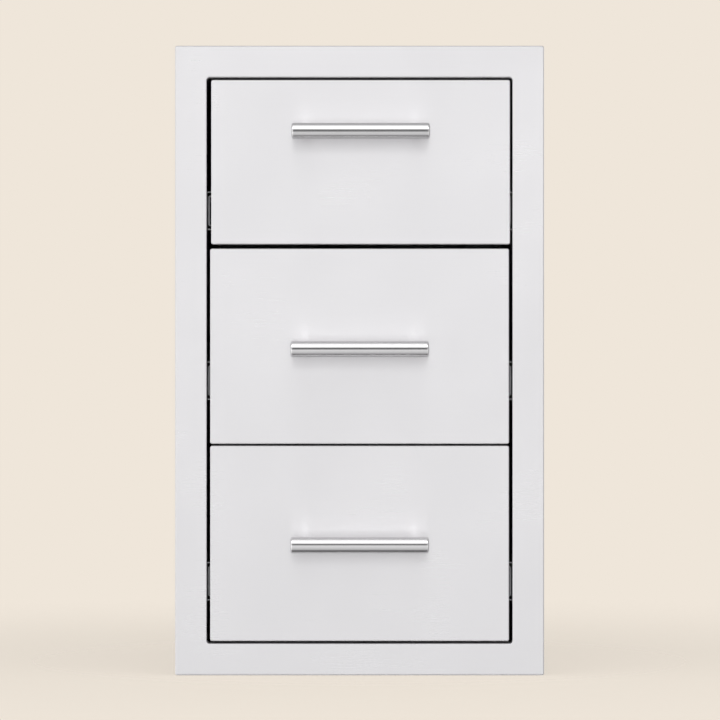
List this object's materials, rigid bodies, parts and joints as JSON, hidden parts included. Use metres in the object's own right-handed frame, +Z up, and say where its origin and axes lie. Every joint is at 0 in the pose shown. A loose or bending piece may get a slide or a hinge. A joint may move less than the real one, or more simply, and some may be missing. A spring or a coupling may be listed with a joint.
{
  "type": "outdoor kitchen drawer unit",
  "caption": "Built-in stainless drawer unit: slim trim frame on a sheet-metal box, with pull-out drawers on telescopic ball slides, each with a round bar handle.",
  "frame": {"origin": "middle of the plane in which the trim frame's rear lip seats on the island's face", "axes": "+X to the right for someone facing the drawers, +Y into the island, +Z up; the drawers pull out towards -Y"},
  "size_m": [0.4318, 0.5742, 0.7366],
  "materials": {
    "frame": "brushed stainless, horizontal grain",
    "front": "brushed stainless, horizontal grain",
    "bar": "fine brushed stainless round bar",
    "box": "dull rolled stainless sheet",
    "liner": "dull rolled stainless sheet",
    "tray": "dull rolled stainless sheet",
    "rail": "zinc-plated steel",
    "cage": "zinc-plated steel cage with polished balls",
    "screw": "plain stainless"
  },
  "bodies": {
    "cabinet": {"front_frame": "frame", "left_side_panel": "box", "right_side_panel": "box", "top_panel": "box", "bottom_panel": "box", "back_panel": "box", "upper_left_cabinet_rail": "rail", "upper_right_cabinet_rail": "rail", "middle_left_cabinet_rail": "rail", "middle_right_cabinet_rail": "rail", "lower_left_cabinet_rail": "rail", "lower_right_cabinet_rail": "rail"},
    "upper_drawer": {"upper_front_skin": "front", "upper_front_liner": "liner", "upper_handle_bar": "bar", "upper_handle_left_post": "bar", "upper_handle_right_post": "bar", "upper_handle_left_screw": "screw", "upper_handle_right_screw": "screw", "upper_drawer_tray": "tray", "upper_left_drawer_rail": "rail", "upper_right_drawer_rail": "rail"},
    "middle_drawer": {"middle_front_skin": "front", "middle_front_liner": "liner", "middle_handle_bar": "bar", "middle_handle_left_post": "bar", "middle_handle_right_post": "bar", "middle_handle_left_screw": "screw", "middle_handle_right_screw": "screw", "middle_drawer_tray": "tray", "middle_left_drawer_rail": "rail", "middle_right_drawer_rail": "rail"},
    "lower_drawer": {"lower_front_skin": "front", "lower_front_liner": "liner", "lower_handle_bar": "bar", "lower_handle_left_post": "bar", "lower_handle_right_post": "bar", "lower_handle_left_screw": "screw", "lower_handle_right_screw": "screw", "lower_drawer_tray": "tray", "lower_left_drawer_rail": "rail", "lower_right_drawer_rail": "rail"},
    "upper_left_intermediate": {"upper_left_intermediate_rail": "rail"},
    "upper_left_outer_balls": {"upper_left_outer_cage": "cage"},
    "upper_left_inner_balls": {"upper_left_inner_cage": "cage"},
    "upper_right_intermediate": {"upper_right_intermediate_rail": "rail"},
    "upper_right_outer_balls": {"upper_right_outer_cage": "cage"},
    "upper_right_inner_balls": {"upper_right_inner_cage": "cage"},
    "middle_left_intermediate": {"middle_left_intermediate_rail": "rail"},
    "middle_left_outer_balls": {"middle_left_outer_cage": "cage"},
    "middle_left_inner_balls": {"middle_left_inner_cage": "cage"},
    "middle_right_intermediate": {"middle_right_intermediate_rail": "rail"},
    "middle_right_outer_balls": {"middle_right_outer_cage": "cage"},
    "middle_right_inner_balls": {"middle_right_inner_cage": "cage"},
    "lower_left_intermediate": {"lower_left_intermediate_rail": "rail"},
    "lower_left_outer_balls": {"lower_left_outer_cage": "cage"},
    "lower_left_inner_balls": {"lower_left_inner_cage": "cage"},
    "lower_right_intermediate": {"lower_right_intermediate_rail": "rail"},
    "lower_right_outer_balls": {"lower_right_outer_cage": "cage"},
    "lower_right_inner_balls": {"lower_right_inner_cage": "cage"}
  },
  "joints": [
    {"name": "upper_drawer_slide", "type": "slide", "parent": "cabinet", "child": "upper_drawer", "axis": [0, -1, 0], "range_m": [0, 0.457]},
    {"name": "middle_drawer_slide", "type": "slide", "parent": "cabinet", "child": "middle_drawer", "axis": [0, -1, 0], "range_m": [0, 0.457]},
    {"name": "lower_drawer_slide", "type": "slide", "parent": "cabinet", "child": "lower_drawer", "axis": [0, -1, 0], "range_m": [0, 0.457]},
    {"name": "upper_left_intermediate_slide", "type": "slide", "parent": "cabinet", "child": "upper_left_intermediate", "axis": [0, -1, 0], "range_m": [0, 0.2286]},
    {"name": "upper_left_outer_balls_roll", "type": "slide", "parent": "cabinet", "child": "upper_left_outer_balls", "axis": [0, -1, 0], "range_m": [0, 0.1143]},
    {"name": "upper_left_inner_balls_roll", "type": "slide", "parent": "cabinet", "child": "upper_left_inner_balls", "axis": [0, -1, 0], "range_m": [0, 0.3429]},
    {"name": "upper_right_intermediate_slide", "type": "slide", "parent": "cabinet", "child": "upper_right_intermediate", "axis": [0, -1, 0], "range_m": [0, 0.2286]},
    {"name": "upper_right_outer_balls_roll", "type": "slide", "parent": "cabinet", "child": "upper_right_outer_balls", "axis": [0, -1, 0], "range_m": [0, 0.1143]},
    {"name": "upper_right_inner_balls_roll", "type": "slide", "parent": "cabinet", "child": "upper_right_inner_balls", "axis": [0, -1, 0], "range_m": [0, 0.3429]},
    {"name": "middle_left_intermediate_slide", "type": "slide", "parent": "cabinet", "child": "middle_left_intermediate", "axis": [0, -1, 0], "range_m": [0, 0.2286]},
    {"name": "middle_left_outer_balls_roll", "type": "slide", "parent": "cabinet", "child": "middle_left_outer_balls", "axis": [0, -1, 0], "range_m": [0, 0.1143]},
    {"name": "middle_left_inner_balls_roll", "type": "slide", "parent": "cabinet", "child": "middle_left_inner_balls", "axis": [0, -1, 0], "range_m": [0, 0.3429]},
    {"name": "middle_right_intermediate_slide", "type": "slide", "parent": "cabinet", "child": "middle_right_intermediate", "axis": [0, -1, 0], "range_m": [0, 0.2286]},
    {"name": "middle_right_outer_balls_roll", "type": "slide", "parent": "cabinet", "child": "middle_right_outer_balls", "axis": [0, -1, 0], "range_m": [0, 0.1143]},
    {"name": "middle_right_inner_balls_roll", "type": "slide", "parent": "cabinet", "child": "middle_right_inner_balls", "axis": [0, -1, 0], "range_m": [0, 0.3429]},
    {"name": "lower_left_intermediate_slide", "type": "slide", "parent": "cabinet", "child": "lower_left_intermediate", "axis": [0, -1, 0], "range_m": [0, 0.2286]},
    {"name": "lower_left_outer_balls_roll", "type": "slide", "parent": "cabinet", "child": "lower_left_outer_balls", "axis": [0, -1, 0], "range_m": [0, 0.1143]},
    {"name": "lower_left_inner_balls_roll", "type": "slide", "parent": "cabinet", "child": "lower_left_inner_balls", "axis": [0, -1, 0], "range_m": [0, 0.3429]},
    {"name": "lower_right_intermediate_slide", "type": "slide", "parent": "cabinet", "child": "lower_right_intermediate", "axis": [0, -1, 0], "range_m": [0, 0.2286]},
    {"name": "lower_right_outer_balls_roll", "type": "slide", "parent": "cabinet", "child": "lower_right_outer_balls", "axis": [0, -1, 0], "range_m": [0, 0.1143]},
    {"name": "lower_right_inner_balls_roll", "type": "slide", "parent": "cabinet", "child": "lower_right_inner_balls", "axis": [0, -1, 0], "range_m": [0, 0.3429]}
  ],
  "couplings": [
    {"joint": "upper_left_intermediate_slide", "follows": "upper_drawer_slide", "ratio": 0.5},
    {"joint": "upper_left_outer_balls_roll", "follows": "upper_drawer_slide", "ratio": 0.25},
    {"joint": "upper_left_inner_balls_roll", "follows": "upper_drawer_slide", "ratio": 0.75},
    {"joint": "upper_right_intermediate_slide", "follows": "upper_drawer_slide", "ratio": 0.5},
    {"joint": "upper_right_outer_balls_roll", "follows": "upper_drawer_slide", "ratio": 0.25},
    {"joint": "upper_right_inner_balls_roll", "follows": "upper_drawer_slide", "ratio": 0.75},
    {"joint": "middle_left_intermediate_slide", "follows": "middle_drawer_slide", "ratio": 0.5},
    {"joint": "middle_left_outer_balls_roll", "follows": "middle_drawer_slide", "ratio": 0.25},
    {"joint": "middle_left_inner_balls_roll", "follows": "middle_drawer_slide", "ratio": 0.75},
    {"joint": "middle_right_intermediate_slide", "follows": "middle_drawer_slide", "ratio": 0.5},
    {"joint": "middle_right_outer_balls_roll", "follows": "middle_drawer_slide", "ratio": 0.25},
    {"joint": "middle_right_inner_balls_roll", "follows": "middle_drawer_slide", "ratio": 0.75},
    {"joint": "lower_left_intermediate_slide", "follows": "lower_drawer_slide", "ratio": 0.5},
    {"joint": "lower_left_outer_balls_roll", "follows": "lower_drawer_slide", "ratio": 0.25},
    {"joint": "lower_left_inner_balls_roll", "follows": "lower_drawer_slide", "ratio": 0.75},
    {"joint": "lower_right_intermediate_slide", "follows": "lower_drawer_slide", "ratio": 0.5},
    {"joint": "lower_right_outer_balls_roll", "follows": "lower_drawer_slide", "ratio": 0.25},
    {"joint": "lower_right_inner_balls_roll", "follows": "lower_drawer_slide", "ratio": 0.75}
  ]
}
